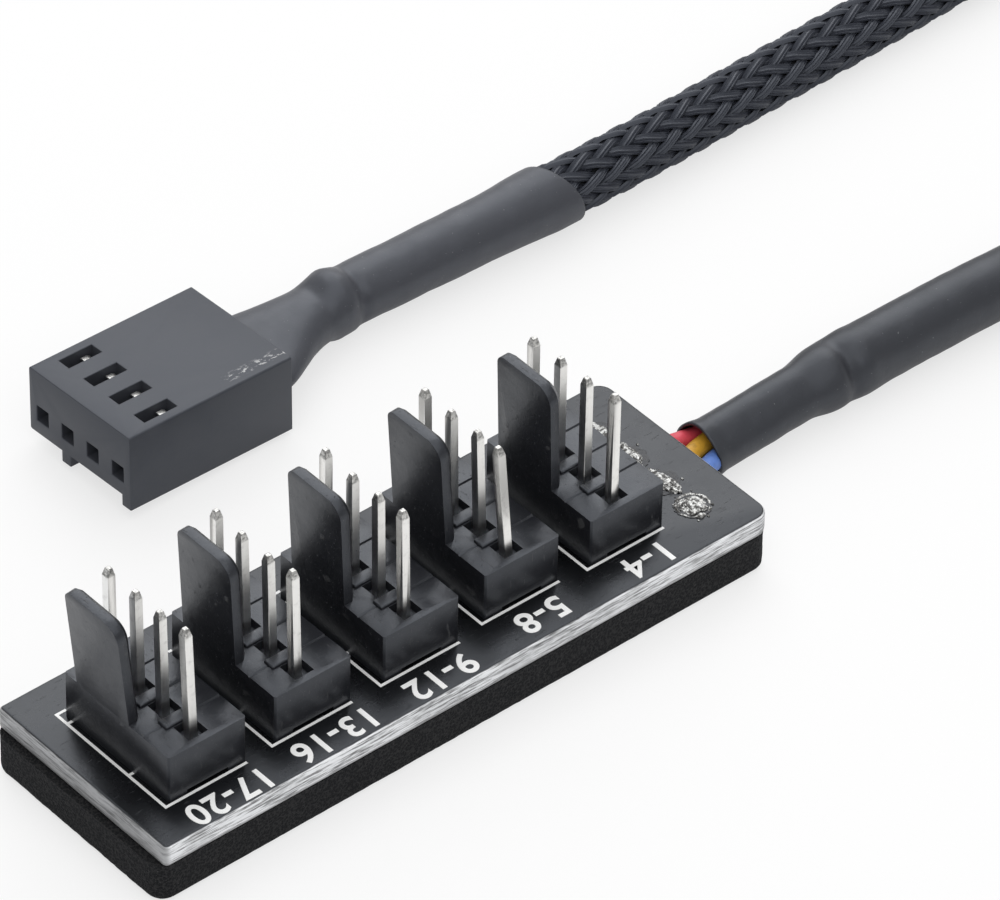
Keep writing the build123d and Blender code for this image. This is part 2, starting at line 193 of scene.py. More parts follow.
class HubSizes(bpy.types.PropertyGroup):
    """Sizes of what the scene adds to the solids."""

    plastic_edge: size("Plastic edge", "How far the edges of moulded parts are rounded", 0.06 * MM)
    pin_edge: size("Pin edge", "How far the edges of the header pins are rounded", 0.04 * MM)
    board_edge: size("Board edge", "How far the routed edge of the board is rounded", 0.22 * MM)
    foam_soft: size("Foam unevenness", "How far the foam's skin wanders in and out", 0.035 * MM)
    print_height: size("Print height", "Height of a printed number", 1.95 * MM)
    print_line: size("Print line", "Width of the printed outline's long lines", 0.2 * MM)
    print_thickness: size("Print thickness", "How far the print stands above the board", 0.02 * MM)
    braid_radius: size("Braid radius", "From the cable's middle to the middle of the plait", 1.82 * MM)
    braid_lead: size("Braid lead", "Length of cable in which a strand goes once round", 32 * MM)
    core_radius: size("Core radius", "Half the width of the wires under the braid", 1.5 * MM)
    strand_width: size("Strand width", "Width of one flat strand", 0.68 * MM)
    strand_lift: size("Strand lift", "How far a strand rises over and dives under the others", 0.19 * MM)
    wire_radius: size("Wire radius", "Half the width of a wire over its insulation", 0.64 * MM)
    sleeve_wall: size("Sleeve wall", "Thickness of the shrunk sleeves", 0.2 * MM)
    strands_each_way: bpy.props.IntProperty(
        name="Strands each way",
        description="Strands that wind the same way round",
        default=14,
        min=4,
        max=32,
    )


class HubColours(bpy.types.PropertyGroup):
    """Colours of the finishes."""

    board: colour("Board", "Solder mask of the board", (0.0035, 0.0036, 0.0042))
    foam: colour("Foam", "Foam pad", (0.0058, 0.0056, 0.0058))
    header: colour("Header", "Plastic of the headers", (0.0120, 0.0125, 0.0152))
    plug: colour("Plug", "Plastic of the plug", (0.030, 0.033, 0.043))
    sleeve: colour("Sleeve", "Heat-shrink sleeves", (0.058, 0.060, 0.070))
    braid: colour("Braid", "Filaments of the braid", (0.022, 0.024, 0.033))
    ink: colour("Print", "Ink of the outlines and numbers", (0.97, 0.97, 0.96))
    tin: colour("Tin", "Tinned pins and contacts", (0.90, 0.89, 0.86))
    solder: colour("Solder", "Hand-made solder joints", (0.72, 0.72, 0.70))
    flux: colour("Flux", "Burnt flux beside the solder", (0.020, 0.014, 0.008))
    wire_red: colour("Red wire", "Insulation of the red wire", (0.70, 0.07, 0.10))
    wire_yellow: colour("Yellow wire", "Insulation of the yellow wire", (0.62, 0.33, 0.03))
    wire_blue: colour("Blue wire", "Insulation of the blue wire", (0.11, 0.21, 0.56))
    wire_black: colour("Black wire", "Insulation of the black wire", (0.01, 0.01, 0.011))
    floor: colour("Floor", "Pale floor", (0.86, 0.86, 0.86))


# The cool tint of what the finishes mirror
cool = (0.84, 0.90, 1.0)


# Shader maths


class Value:
    """A shader socket that can stand in a Python expression."""

    def __init__(self, finish, socket):
        self.finish = finish
        self.socket = socket

    def math(self, operation, first, second):
        """The outcome of a sum on two values or numbers."""
        return self.finish.node("ShaderNodeMath", {"operation": operation}, {0: first, 1: second})

    def __add__(self, other):
        return self.math("ADD", self, other)

    def __sub__(self, other):
        return self.math("SUBTRACT", self, other)

    def __rsub__(self, other):
        return self.math("SUBTRACT", other, self)

    def __mul__(self, other):
        return self.math("MULTIPLY", self, other)

    __radd__ = __add__
    __rmul__ = __mul__


class Finish:
    """A material while it is made: its pattern nodes and, last, its shader."""

    def __init__(self, name):
        self.material = bpy.data.materials.new(name)
        self.material.use_nodes = True
        self.tree = self.material.node_tree
        self.tree.nodes.clear()
        self.place = self.node("ShaderNodeTexCoord", output="Object")

    def node(self, kind, settings=None, inputs=None, output=0):
        """Makes a node, sets it up, joins its inputs and gives one of its outputs."""
        made = self.tree.nodes.new(kind)
        for key, value in (settings or {}).items():
            setattr(made, key, value)
        for key, value in (inputs or {}).items():
            if isinstance(value, Value):
                self.tree.links.new(value.socket, made.inputs[key])
            else:
                made.inputs[key].default_value = value
        if made.outputs:
            return Value(self, made.outputs[output])
        return None

    def noise(self, grain, detail=3.0, rough=0.5, along=(1, 1, 1)):
        """Noise from 0 to 1 in lumps about one grain wide, drawn out on an axis that has less than 1."""
        where = self.node("ShaderNodeMapping", inputs={"Vector": self.place, "Scale": along})
        return self.node(
            "ShaderNodeTexNoise",
            inputs={"Vector": where, "Scale": 1 / grain, "Detail": detail, "Roughness": rough},
            output="Fac",
        )

    def cells(self, grain):
        """Distance to the nearest of points that lie about one grain apart."""
        return self.node(
            "ShaderNodeTexVoronoi", inputs={"Vector": self.place, "Scale": 1 / grain}, output="Distance"
        )

    def step(self, value, low, high):
        """0 below low, 1 above high, smooth between."""
        return self.node(
            "ShaderNodeMapRange", {"interpolation_type": "SMOOTHSTEP"}, {0: value, 1: low, 2: high}
        )

    def axis(self, name, place=None):
        """One coordinate of the place on the piece, or of another place."""
        return self.node("ShaderNodeSeparateXYZ", inputs={0: place or self.place}, output=name)

    def mix(self, share, first, second):
        """One colour into another."""
        colours = {0: share, 6: opaque(first), 7: opaque(second)}
        return self.node("ShaderNodeMix", {"data_type": "RGBA"}, colours, output=2)

    def shade(self, base, roughness, metallic=0.0, bump=None, depth=0.0, specular=0.5):
        """Ends the material in one shader, with bump of that depth in metres."""
        inputs = {
            "Base Color": opaque(base),
            "Roughness": roughness,
            "Metallic": metallic,
            "Specular IOR Level": specular,
            "Specular Tint": opaque(cool),
        }
        if bump is not None:
            relief = {"Height": bump, "Distance": depth, "Strength": 1.0}
            inputs["Normal"] = self.node("ShaderNodeBump", inputs=relief, output="Normal")
        shader = self.node("ShaderNodeBsdfPrincipled", inputs=inputs, output="BSDF")
        self.node("ShaderNodeOutputMaterial", inputs={"Surface": shader})
        return self.material


def opaque(value):
    """A plain colour with its alpha; a linked colour stays."""
    if isinstance(value, Value):
        return value
    return (*value, 1.0)


def grey(level):
    """A grey colour."""
    return (level, level, level)


# Finishes


def board_finish():
    """Glossy black solder mask on top, worn pale glass-fibre at the routed sides."""
    c = bpy.context.scene.hub_colours
    finish = Finish("board_mask")
    height = finish.axis("Z")
    side = 1 - finish.step(height, board_top - 0.07 * MM, board_top - 0.015 * MM)
    above_foot = finish.step(height, board_low.z + 0.05 * MM, board_low.z + 0.45 * MM)
    layers = finish.noise(0.15 * MM, 4.0, 0.65, (0.06, 0.06, 1.0))
    threads = finish.noise(0.05 * MM, 2.0, 0.6, (0.05, 0.05, 1.0))
    worn = finish.noise(2.6 * MM, 3.0, 0.6)
    # Painted shade: the far-end face is made darker than the other routed sides
    clear_of_far_end_shade = finish.step(finish.axis("X"), board_low.x + 0.06 * MM, board_low.x + 0.5 * MM)

    # The glass-fibre is pale in layers, and darker at the foot and in patches; it is darker on the
    # far-end face as painted shade
    pale = finish.step(layers * 0.65 + threads * 0.35, 0.38, 0.56) * (above_foot * 0.85 + 0.15)
    pale = pale * (finish.step(worn, 0.25, 0.6) * 0.35 + 0.65) * (clear_of_far_end_shade * 0.65 + 0.35)
    dust = finish.step(finish.noise(0.11 * MM, 2.0, 0.7), 0.68, 0.76)
    hairs = finish.step(finish.noise(0.12 * MM, 2.0, 0.5, (0.12, 1.0, 1.0)), 0.66, 0.74)
    smear = finish.noise(2.4 * MM, 4.0, 0.6)
    top_colour = finish.mix(dust * 0.3 + hairs * 0.12, c.board, grey(0.12))
    side_colour = finish.mix(pale, grey(0.15), (0.97, 0.98, 1.0))
    base = finish.mix(side, top_colour, side_colour)
    roughness = 0.2 + smear * 0.16 + hairs * 0.1 + side * 0.15
    bump = (finish.noise(0.35 * MM, 3.0, 0.6) * 0.3 + hairs * 0.3) * (1 - side) + layers * side
    return finish.shade(base, roughness, bump=bump, depth=0.02 * MM)


def foam_finish():
    """Open black foam: fine cells with a few paler walls."""
    c = bpy.context.scene.hub_colours
    finish = Finish("foam")
    pores = finish.cells(0.17 * MM)
    fine = finish.cells(0.08 * MM)
    specks = finish.step(finish.noise(0.1 * MM, 3.0, 0.8), 0.56, 0.74)
    walls = finish.step(pores, 0.4, 0.7)
    base = finish.mix(walls * 0.2 + specks * 0.6, c.foam, (0.085, 0.082, 0.080))
    bump = pores * 0.6 + fine * 0.4
    return finish.shade(base, 0.9, bump=1 - bump, depth=0.1 * MM, specular=0.3)


def header_finish():
    """Glass-filled black plastic with handling marks."""
    c = bpy.context.scene.hub_colours
    finish = Finish("header_plastic")
    grain = finish.noise(0.12 * MM, 3.0, 0.6)
    cloud = finish.noise(1.6 * MM, 3.0, 0.55)
    marks = finish.noise(0.22 * MM, 2.0, 0.5, (1.0, 0.16, 0.16))
    scratches = finish.step(marks, 0.66, 0.73)
    nicks = finish.step(finish.noise(0.2 * MM, 5.0, 0.75), 0.64, 0.70)
    pale = finish.step(finish.noise(0.5 * MM, 4.0, 0.7), 0.60, 0.8)
    dust = finish.step(finish.noise(0.09 * MM, 1.0, 0.5), 0.70, 0.76)
    base = finish.mix(pale * 0.3 + scratches * 0.4 + dust * 0.7, c.header, grey(0.10))
    roughness = 0.24 + cloud * 0.2 + scratches * 0.2 + nicks * 0.1
    bump = grain * 0.5 + scratches * 0.6 + cloud * 2 - nicks * 2.2
    return finish.shade(base, roughness, bump=bump, depth=0.019 * MM, specular=0.7)


def plug_finish():
    """Satin grey-black plastic, scuffed along its near rear edge."""
    c = bpy.context.scene.hub_colours
    finish = Finish("plug_plastic")
    own = finish.node(
        "ShaderNodeMapping",
        {"vector_type": "TEXTURE"},
        {
            "Vector": finish.place,
            "Location": Vector(plug_corner) * MM,
            "Rotation": [math.radians(angle) for angle in plug_turns],
        },
    )
    back = finish.axis("X", own)
    across = finish.axis("Y", own)
    up = finish.axis("Z", own)
    grain = finish.noise(0.1 * MM, 3.0, 0.6)
    cloud = finish.noise(2.2 * MM, 3.0, 0.55)

    # The scuff lies on the top, in a band just inside the near side and towards the rear
    band = finish.step(across, 0.45 * MM, 0.7 * MM) * (1 - finish.step(across, 0.9 * MM, 1.5 * MM))
    zone = band * finish.step(back, 8.2 * MM, 9.4 * MM) * finish.step(up, 5.6 * MM, 5.7 * MM)
    streaks = finish.noise(0.3 * MM, 3.0, 0.75, (0.5, 1.0, 1.0))
    scuff = finish.step(streaks, 0.53, 0.6) * zone
    base = finish.mix(scuff * 0.8 + cloud * 0.06, c.plug, grey(0.55))
    roughness = 0.42 + cloud * 0.14
    return finish.shade(base, roughness, bump=grain * 0.6 + scuff, depth=0.008 * MM)


def sleeve_finish(name, share):
    """Shrunk sleeve: satin, a little mottled, with a few pale specks. The share darkens its colour; a
    share below 1 is painted shade on a sleeve of the same shrink.
    """
    c = bpy.context.scene.hub_colours
    finish = Finish(name)
    mottle = finish.noise(1.3 * MM, 4.0, 0.6)
    grain = finish.noise(0.09 * MM, 2.0, 0.6)
    specks = finish.step(finish.noise(0.14 * MM, 1.0, 0.5), 0.77, 0.8)
    # A share below 1 darkens the sleeve as painted shade
    plain = tuple(share * level for level in c.sleeve)
    base = finish.mix(mottle * 0.4, plain, tuple(0.5 * level for level in plain))
    base = finish.mix(specks * 0.5, base, grey(0.4))
    roughness = 0.34 + mottle * 0.2
    bump = mottle * 0.85 + grain * 0.15
    return finish.shade(base, roughness, bump=bump, depth=0.05 * MM, specular=0.6)


def braid_finish():
    """Smooth black filaments."""
    c = bpy.context.scene.hub_colours
    finish = Finish("braid")
    shade = finish.noise(0.5 * MM, 3.0, 0.6)
    base = finish.mix(shade * 0.5, c.braid, (0.062, 0.068, 0.084))
    return finish.shade(base, 0.3 + shade * 0.16)


def core_finish():
    """The wires under the braid, painted near black as the shadow in the braid's gaps."""
    finish = Finish("braid_shadow")
    shade = finish.noise(1.0 * MM)
    return finish.shade(finish.mix(shade, grey(0.003), grey(0.007)), 0.7)


def tin_finish(name, tip=None):
    """Bright tin with drawing marks along the pin, and a duller cut end above the tip's foot."""
    c = bpy.context.scene.hub_colours
    finish = Finish(name)
    drawn = finish.noise(0.07 * MM, 3.0, 0.6, (1.0, 1.0, 0.06))
    stain = finish.step(finish.noise(0.5 * MM, 3.0, 0.6), 0.5, 0.8)
    base = finish.mix(stain * 0.35 + drawn * 0.15, c.tin, (0.45, 0.44, 0.42))
    roughness = 0.24 + drawn * 0.14
    if tip:
        end = finish.step(finish.axis("Z"), tip - 0.1 * MM, tip + 0.1 * MM)
        smudge = finish.step(finish.noise(0.2 * MM, 3.0, 0.7), 0.4, 0.65)
        base = finish.mix(end * (smudge * 0.55 + 0.3), base, (0.16, 0.16, 0.155))
        roughness = roughness + end * 0.14
    return finish.shade(base, roughness, 1.0, bump=drawn, depth=0.003 * MM)


def solder_finish():
    """Rough solder, bright and dull in patches, with dark flux in its pits."""
    c = bpy.context.scene.hub_colours
    finish = Finish("solder")
    lumps = finish.noise(0.22 * MM, 4.0, 0.7)
    burnt = finish.step(finish.noise(0.3 * MM, 3.0, 0.65), 0.44, 0.56)
    base = finish.mix(burnt * 0.9, c.solder, c.flux)
    metal = 1 - burnt * 0.85
    return finish.shade(base, 0.22 + lumps * 0.25, metal, bump=lumps, depth=0.12 * MM)


def flux_finish():
    """Glassy burnt flux."""
    c = bpy.context.scene.hub_colours
    finish = Finish("flux")
    tone = finish.noise(0.5 * MM, 4.0, 0.7)
    base = finish.mix(tone, c.board, c.flux)
    return finish.shade(base, 0.16 + tone * 0.2, bump=tone, depth=0.08 * MM)


def wire_finish(name, insulation):
    """Soft wire insulation with a little dirt."""
    finish = Finish(name)
    dirt = finish.noise(0.5 * MM, 3.0, 0.6)
    dull = tuple(0.6 * level for level in insulation)
    base = finish.mix(finish.step(dirt, 0.45, 0.75) * 0.6, tuple(insulation), dull)
    return finish.shade(base, 0.4 + dirt * 0.15, bump=dirt, depth=0.01 * MM)


def ink_finish():
    """White ink with worn spots."""
    c = bpy.context.scene.hub_colours
    finish = Finish("board_print")
    worn = finish.step(finish.noise(0.16 * MM, 3.0, 0.7), 0.6, 0.75)
    base = finish.mix(worn * 0.4, c.ink, grey(0.4))
    return finish.shade(base, 0.55)


def dress(piece, material):
    """Gives a new piece its finish and lets it ride on the hub."""
    piece.data.materials.clear()
    piece.data.materials.append(material)
    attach(piece, "root")
    return piece


def paint(name, material):
    """Gives a solid a better finish."""
    for slot in nodes[name].material_slots:
        slot.material = material


# Shapes

# Nearer than the first, two places are the same. Nearer than the second, a corner lies on a flat face.
same_place = 1e-6
on_face = 0.01 * MM

# The copy of a solid: how near its doubled corners lie, and the angles in degrees above which faces that
# meet stay apart, have their edge rounded, and are shaded sharp
doubled = 0.001 * MM
flat_angle = 2
bevel_angle = 35
shade_angle = 22


def placed(name, data):
    """Puts data into the scene as an object."""
    piece = bpy.data.objects.new(name, data)
    bpy.context.scene.collection.objects.link(piece)
    return piece


def piece_from(shape, name, smooth_angle=None):
    """Makes an object of a bmesh, smooth where its faces meet at less than the angle."""
    mesh = bpy.data.meshes.new(name)
    shape.to_mesh(mesh)
    shape.free()
    if smooth_angle is not None:
        mesh.shade_smooth()
        mesh.set_sharp_from_angle(angle=math.radians(smooth_angle))
    return placed(name, mesh)


def softened(node, name, edge, segments=2, reshape=None):
    """A copy of a solid whose sharp edges are rounded a little. It stands for the solid."""
    shape = bmesh.new()
    shape.from_mesh(nodes[node].data)
    bmesh.ops.remove_doubles(shape, verts=shape.verts, dist=doubled)
    flat = math.radians(flat_angle)
    bmesh.ops.dissolve_limit(shape, angle_limit=flat, verts=shape.verts, edges=shape.edges)
    if reshape:
        reshape(shape)
    if edge > 0:
        least = math.radians(bevel_angle)
        sharp = [e for e in shape.edges if e.is_manifold and e.calc_face_angle() > least]
        bevel(shape, sharp, edge, segments)
    bmesh.ops.triangulate(shape, faces=shape.faces)
    piece = piece_from(shape, name, shade_angle)
    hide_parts(node)
    return piece


def bevel(shape, edges, offset, segments):
    """Rounds edges."""
    bmesh.ops.bevel(
        shape,
        geom=edges,
        offset=offset,
        offset_type="OFFSET",
        affect="EDGES",
        segments=segments,
        profile=0.5,
        clamp_overlap=True,
        material=-1,
    )


def cut(shape, place, normal):
    """Divides the faces along a plane."""
    everything = shape.verts[:] + shape.edges[:] + shape.faces[:]
    bmesh.ops.bisect_plane(shape, geom=everything, dist=1e-7, plane_co=place, plane_no=normal)


def block(shape, low, high):
    """Adds a box between two corners."""
    made = bmesh.ops.create_cube(shape, size=1.0)
    bmesh.ops.scale(shape, vec=high - low, verts=made["verts"])
    bmesh.ops.translate(shape, vec=(low + high) / 2, verts=made["verts"])


def upright_edges(shape, corner=None):
    """Upright edges, or only those above and below one corner."""
    found = []
    for edge in shape.edges:
        first, second = edge.verts[0].co.xy, edge.verts[1].co.xy
        upright = (first - second).length < same_place
        if upright and (corner is None or (first - Vector(corner)).length < same_place):
            found.append(edge)
    return found


# Least height of what lies on the floor
floor_gap = 0.02 * MM


class Line:
    """A smooth line in space, with its sideways and upward directions at any distance."""

    def __init__(self, points):
        steps = np.linalg.norm(np.diff(points, axis=0), axis=1)
        keep = np.concatenate(([True], steps > 1e-7))
        self.points = points[keep]
        steps = np.linalg.norm(np.diff(self.points, axis=0), axis=1)
        self.distance = np.concatenate(([0.0], np.cumsum(steps)))
        self.length = self.distance[-1]
        heading = np.gradient(self.points, self.distance, axis=0)
        self.heading = heading / np.linalg.norm(heading, axis=1)[:, None]
        side = np.cross((0.0, 0.0, 1.0), self.heading)
        self.side = side / np.linalg.norm(side, axis=1)[:, None]
        self.up = np.cross(self.heading, self.side)

    def place(self, distance, across, height):
        """Points at that distance along the line, so far across and above it, flattened by the floor."""
        columns = []
        for axis in range(3):
            middle = np.interp(distance, self.distance, self.points[:, axis])
            side = np.interp(distance, self.distance, self.side[:, axis])
            up = np.interp(distance, self.distance, self.up[:, axis])
            columns.append(middle + across * side + height * up)
        columns[2] = np.maximum(columns[2], floor_gap)
        return np.stack(columns, axis=-1)


def route_curve(name, route, radius=0.0):
    """A curve on one smooth spline whose control points are the route's."""
    curve = bpy.data.curves.new(name, "CURVE")
    curve.dimensions = "3D"
    spline = curve.splines.new("NURBS")
    spline.points.add(len(route) - 1)
    for point, (x, y, z) in zip(spline.points, route):
        point.co = (x * MM, y * MM, z * MM, 1.0)
    spline.order_u = 3
    spline.use_endpoint_u = True
    spline.resolution_u = 16
    curve.bevel_depth = radius
    curve.bevel_resolution = 6
    return placed(name, curve)


def plug_place():
    """From the plug's own place to the hub's, in metres."""
    turns = Matrix.Identity(4)
    for angle, axis in zip(plug_turns, "XYZ"):
        turns = turns @ Matrix.Rotation(math.radians(angle), 4, axis)
    return Matrix.Translation(Vector(plug_corner) * MM) @ turns


def plug_point(u, v, w):
    """A point of the plug's own place in the hub's, in millimetres."""
    return tuple(plug_place() @ (Vector((u, v, w)) * MM) / MM)


def line_of(route):
    """The line that a route's smooth spline follows."""
    guide = route_curve("guide", route)
    bpy.context.view_layer.update()
    mesh = bpy.data.meshes.new_from_object(guide)
    points = np.array([tuple(v.co) for v in mesh.vertices])
    bpy.data.meshes.remove(mesh)
    bpy.data.objects.remove(guide)
    return Line(points)


def wrapped(shape, steps, sides, place):
    """Adds a grid of steps by sides that the place function bends into a closed tube."""
    grid = bmesh.new()
    bmesh.ops.create_grid(grid, x_segments=steps, y_segments=sides, size=0.5)
    mesh = bpy.data.meshes.new("grid")
    grid.to_mesh(mesh)
    grid.free()
    flat = np.empty(len(mesh.vertices) * 3)
    mesh.vertices.foreach_get("co", flat)
    flat = flat.reshape(-1, 3)
    bent = place(flat[:, 0] + 0.5, flat[:, 1] + 0.5)
    mesh.vertices.foreach_set("co", bent.reshape(-1))
    shape.from_mesh(mesh)
    bpy.data.meshes.remove(mesh)


def smooth_step(value, low, high):
    """0 below low, 1 above high, smooth between."""
    t = np.clip((value - low) / (high - low), 0.0, 1.0)
    return t * t * (3 - 2 * t)


def blend_stations(distance, stations):
    """Values given at distances along a line, eased from each to the next."""
    result = np.full(distance.shape, stations[0][1])
    for (low, first), (high, second) in zip(stations, stations[1:]):
        share = smooth_step(distance, low, high)
        result = np.where(distance >= low, first + (second - first) * share, result)
    return result


def dents(points, grain, depth):
    """Smooth unevenness of a soft skin, one value for each point."""
    return np.array([depth * noise.noise(Vector(p) / grain) for p in points])


# Pieces

# Corner radii of the board: near and far corner at the far end, then at the cable end
board_corners = (0.35 * MM, 0.35 * MM, 1.1 * MM, 1.1 * MM)


def build_board():
    """The board as one block with rounded corners and a rounded rim."""
    s = bpy.context.scene.hub_sizes
    shape = bmesh.new()
    block(shape, board_low, board_high)
    corners = [(x, y) for x in (board_low.x, board_high.x) for y in (board_low.y, board_high.y)]
    for corner, radius in zip(corners, board_corners):
        bevel(shape, upright_edges(shape, corner), radius, 6)
    rim = [e for e in shape.edges if abs(e.verts[0].co.z - e.verts[1].co.z) < same_place]
    bevel(shape, rim, s.board_edge, 3)
    board = piece_from(shape, "board", 40)
    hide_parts("circuit_board")
    dress(board, board_finish())


# Foam pad: radii of its corners and of its lower edge, how many layers its skin has along X, Y and Z,
# the sizes of its slow and fine unevenness, and how far it is drawn in as a share of that unevenness
foam_corner = 1.2 * MM
foam_rounding = 0.5 * MM
foam_layers = (160, 54, 12)
foam_wave = 3.5 * MM
foam_grain = 0.4 * MM
foam_inset = 0.6


def build_foam():
    """The pad, with an uneven skin round its sides and flat faces above and below."""
    s = bpy.context.scene.hub_sizes
    shape = bmesh.new()
    block(shape, pad_low, pad_high)
    bevel(shape, upright_edges(shape), foam_corner, 8)
    just_above = pad_low.z + on_face
    just_below = pad_high.z - on_face
    bottom = [e for e in shape.edges if max(v.co.z for v in e.verts) < just_above]
    bevel(shape, bottom, foam_rounding, 5)
    for low, high, count, normal in zip(pad_low, pad_high, foam_layers, Matrix.Identity(3)):
        for n in range(1, count):
            cut(shape, normal * (low + (high - low) * n / count), normal)
    for vertex in shape.verts:
        if just_above <= vertex.co.z <= just_below:
            out = Vector((vertex.co.x, vertex.co.y, 0)).normalized()
            wander = 0.5 * noise.noise(vertex.co / foam_wave) + noise.noise(vertex.co / foam_grain)
            vertex.co += out * (s.foam_soft * (wander - foam_inset))
    pad = piece_from(shape, "foam_slab", 50)
    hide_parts("foam_pad")
    dress(pad, foam_finish())


# Header base: its depth along the hub, the distance from its near side to the first pin, and its height
# above the board
header_depth = 6.05 * MM
header_end_wall = 1.27 * MM
base_height = 3.6 * MM

# Ribs on the base between the pins: where they start and end from its far-end face, and their size
rib_start = 1.5 * MM
rib_end = 3.35 * MM
rib_width = 0.92 * MM
rib_height = 0.2 * MM
rib_foot = 0.1 * MM
rib_rounding = 0.13 * MM

# The tapered tip of a header pin: its length, and the share of the pin's width that is left at the top
pin_tip = 0.55 * MM
pin_tip_share = 0.56


def taper_tip(shape):
    """Narrows the upper end of a pin."""
    top = max(vertex.co.z for vertex in shape.verts)
    cut(shape, (0, 0, top - pin_tip), (0, 0, 1))
    upper = [vertex for vertex in shape.verts if vertex.co.z > top - on_face]
    centre = sum((vertex.co for vertex in upper), Vector()) / len(upper)
    for vertex in upper:
        vertex.co = centre + (vertex.co - centre) * pin_tip_share


def build_ribs(k, plastic):
    """The low rounded ribs that part one pin's place from the next."""
    low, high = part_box(f"header_housing_{k}")
    left = high.x - header_depth
    top = board_top + base_height
    shape = bmesh.new()
    for j in range(1, ways):
        middle = low.y + header_end_wall + (j - 0.5) * contact_pitch * MM
        start = Vector((left + rib_start, middle - rib_width / 2, top - rib_foot))
        block(shape, start, Vector((left + rib_end, middle + rib_width / 2, top + rib_height)))
    raised = [e for e in shape.edges if max(v.co.z for v in e.verts) > top]
    bevel(shape, raised, rib_rounding, 3)
    dress(piece_from(shape, f"header_ribs_{k}", 50), plastic)


def build_headers():
    """The five headers with their ribs and pins. The solder under the board keeps its solids."""
    s = bpy.context.scene.hub_sizes
    plastic = header_finish()
    pin_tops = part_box("header_1_pin_1")[1].z
    tin = tin_finish("pin_tin", pin_tops - pin_tip)
    cone = solder_finish()
    for k in range(1, header_count + 1):
        body = softened(f"header_housing_{k}", f"header_body_{k}", s.plastic_edge)
        dress(body, plastic)
        build_ribs(k, plastic)
        paint(f"pin_solder_{k}", cone)
        for j in range(1, ways + 1):
            pin = softened(f"header_{k}_pin_{j}", f"tinned_pin_{k}_{j}", s.pin_edge, 1, taper_tip)
            dress(pin, tin)


# Printed outline of each header: how far it lies outside the base on three sides, how far short of the
# fourth side it stops, the lengths of the mark at its far corner and of the marks along its long line,
# and where these lie from the base's near side
outline_left = 0.4 * MM
outline_near = 0.2 * MM
outline_far = 0.35 * MM
outline_stop = 0.1 * MM
corner_mark = 0.65 * MM
side_mark = 0.42 * MM
side_mark_places = (3.45 * MM, 9.45 * MM)

# Number of each header, from the far end: its text, its distance from the base, the room that it has,
# how far it is moved to the cable end, and its letters, whose size is a share of the digits' height
number_texts = ["17-20", "13-16", "9-12", "5-8", "1-4"]
number_gap = 0.95 * MM
number_room = 5.9 * MM
number_shift = 0.1 * MM
letter_share = 1.37
letter_space = 1.08
stroke_gain = 0.03 * MM
stroke_edge = 0.025 * MM


def printed_line(shape, x0, x1, y0, y1):
    """Adds one line of print."""
    s = bpy.context.scene.hub_sizes
    block(shape, Vector((x0, y0, board_top)), Vector((x1, y1, board_top + s.print_thickness)))


def build_print():
    """The outline round each header and its number."""
    s = bpy.context.scene.hub_sizes
    ink = ink_finish()
    half = s.print_line / 2
    for k in range(1, header_count + 1):
        low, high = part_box(f"header_housing_{k}")
        left = high.x - header_depth - outline_left
        near = low.y - outline_near
        far = high.y + outline_far
        shape = bmesh.new()
        printed_line(shape, left - half, left + half, near - half, far + half)
        printed_line(shape, left + half, high.x - outline_stop, near - half, near + half)
        printed_line(shape, left + half, left + half + corner_mark, far - half, far + half)
        for place in side_mark_places:
            middle = low.y + place
            printed_line(shape, left + half, left + side_mark, middle - half, middle + half)
        dress(piece_from(shape, f"outline_print_{k}"), ink)
        build_number(k, high.x - header_depth, low.y, ink)


def build_number(k, left, near, ink):
    """A number below a header, read from the far side of the hub."""
    s = bpy.context.scene.hub_sizes
    text = bpy.data.curves.new("number", "FONT")
    text.body = number_texts[k - 1]
    text.size = s.print_height * letter_share
    text.offset = stroke_gain
    text.extrude = s.print_thickness / 2
    text.bevel_depth = stroke_edge
    text.bevel_resolution = 1
    text.space_character = letter_space
    source = placed("number", text)
    bpy.context.view_layer.update()
    mesh = bpy.data.meshes.new_from_object(source)
    bpy.data.objects.remove(source)
    across = [v.co.x for v in mesh.vertices]
    upward = [v.co.y for v in mesh.vertices]
    wide = min(1.0, number_room / (max(across) - min(across)))
    tall = s.print_height / (max(upward) - min(upward))
    to_origin = Matrix.Translation((-(max(across) + min(across)) / 2, -min(upward), 0))
    stretch = Matrix.Diagonal((wide, tall, 1.0, 1.0))
    turn = Matrix.Rotation(math.pi, 4, "Z")
    centre = left + number_shift + number_room / 2
    move = Matrix.Translation((centre, near - number_gap, board_top))
    mesh.transform(move @ turn @ stretch @ to_origin)
    mesh.name = f"number_print_{k}"
    dress(placed(mesh.name, mesh), ink)


def build_wire(name, route, radius, node, finish, slot):
    """One insulated wire, which stands for its solid."""
    wire = route_curve(name, route, radius)
    wire.data.use_fill_caps = True
    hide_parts(node)
    return dress(wire, finish)


def build_wires():
    """The four wires at the hub and their other ends at the plug."""
    c = bpy.context.scene.hub_colours
    s = bpy.context.scene.hub_sizes
    joined_x, joined_y, joined_z = cable_route[-1]
    made = []
    for name in wire_names:
        slot = f"wire_{name}"
        finish = wire_finish(slot, getattr(c, slot))
        way = ways_across[name]
        plug_route = [plug_point(u, plug_middle + way * share, w) for u, share, w in plug_wire_run]
        plug_route.append((joined_x, joined_y + offset_in_cable * way, joined_z))
        ends = [
            (f"lead_{name}", wire_routes[name], s.wire_radius, f"hub_wire_{name}"),
            (f"plug_lead_{name}", plug_route, s.wire_radius * plug_wire_share, f"plug_wire_{name}"),
        ]
        made += [build_wire(*end, finish, slot) for end in ends]
    return made


